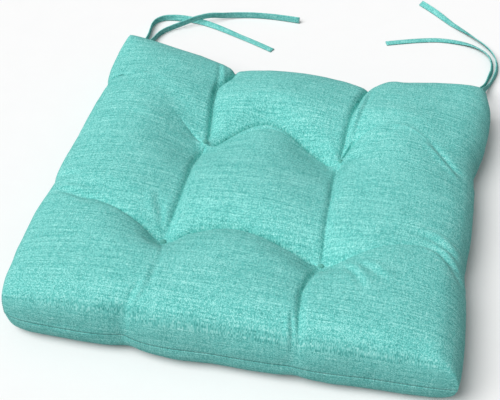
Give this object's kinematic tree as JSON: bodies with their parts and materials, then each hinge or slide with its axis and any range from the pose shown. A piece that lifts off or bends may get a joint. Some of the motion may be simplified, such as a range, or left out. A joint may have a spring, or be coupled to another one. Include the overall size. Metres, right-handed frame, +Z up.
{
  "type": "chair seat pad",
  "caption": "Square tufted chair seat pad with a knife-edge fabric cover, fibre filling, and pairs of fabric ties at the back corners.",
  "frame": {"origin": "centre of the pad's underside, on the surface that it rests on", "axes": "+Z up, +X along the pad's width, +Y to the back edge that carries the ties"},
  "size_m": [0.5191, 0.7438, 0.088],
  "materials": {
    "cover_fabric": "matte",
    "polyester_fibre": "matte",
    "sewing_thread": "satin"
  },
  "bodies": {
    "pad": {"top_panel": "cover_fabric", "bottom_panel": "cover_fabric", "fibre_fill": "polyester_fibre", "edge_seam": "sewing_thread", "closing_stitch": "sewing_thread", "corner_dart_front_left": "sewing_thread", "corner_dart_front_right": "sewing_thread", "corner_dart_back_left": "sewing_thread", "corner_dart_back_right": "sewing_thread", "tuft_thread_front_left": "sewing_thread", "tuft_thread_front_right": "sewing_thread", "tuft_thread_back_left": "sewing_thread", "tuft_thread_back_right": "sewing_thread", "top_tack_front_left": "sewing_thread", "top_tack_front_right": "sewing_thread", "top_tack_back_left": "sewing_thread", "top_tack_back_right": "sewing_thread", "bottom_tack_front_left": "sewing_thread", "bottom_tack_front_right": "sewing_thread", "bottom_tack_back_left": "sewing_thread", "bottom_tack_back_right": "sewing_thread", "tie_tack_left": "sewing_thread", "tie_tack_right": "sewing_thread"},
    "left_ties": {"left_tie_outer": "cover_fabric", "left_tie_inner": "cover_fabric"},
    "right_ties": {"right_tie_outer": "cover_fabric", "right_tie_inner": "cover_fabric"}
  },
  "joints": [
    {"name": "left_ties_swing", "type": "hinge", "parent": "pad", "child": "left_ties", "pos_m": [-0.24015, 0.2459, 0.031], "axis": [0, 0, 1], "range_deg": [-10, 80]},
    {"name": "right_ties_swing", "type": "hinge", "parent": "pad", "child": "right_ties", "pos_m": [0.24015, 0.2459, 0.031], "axis": [0, 0, 1], "range_deg": [-80, 10]}
  ]
}
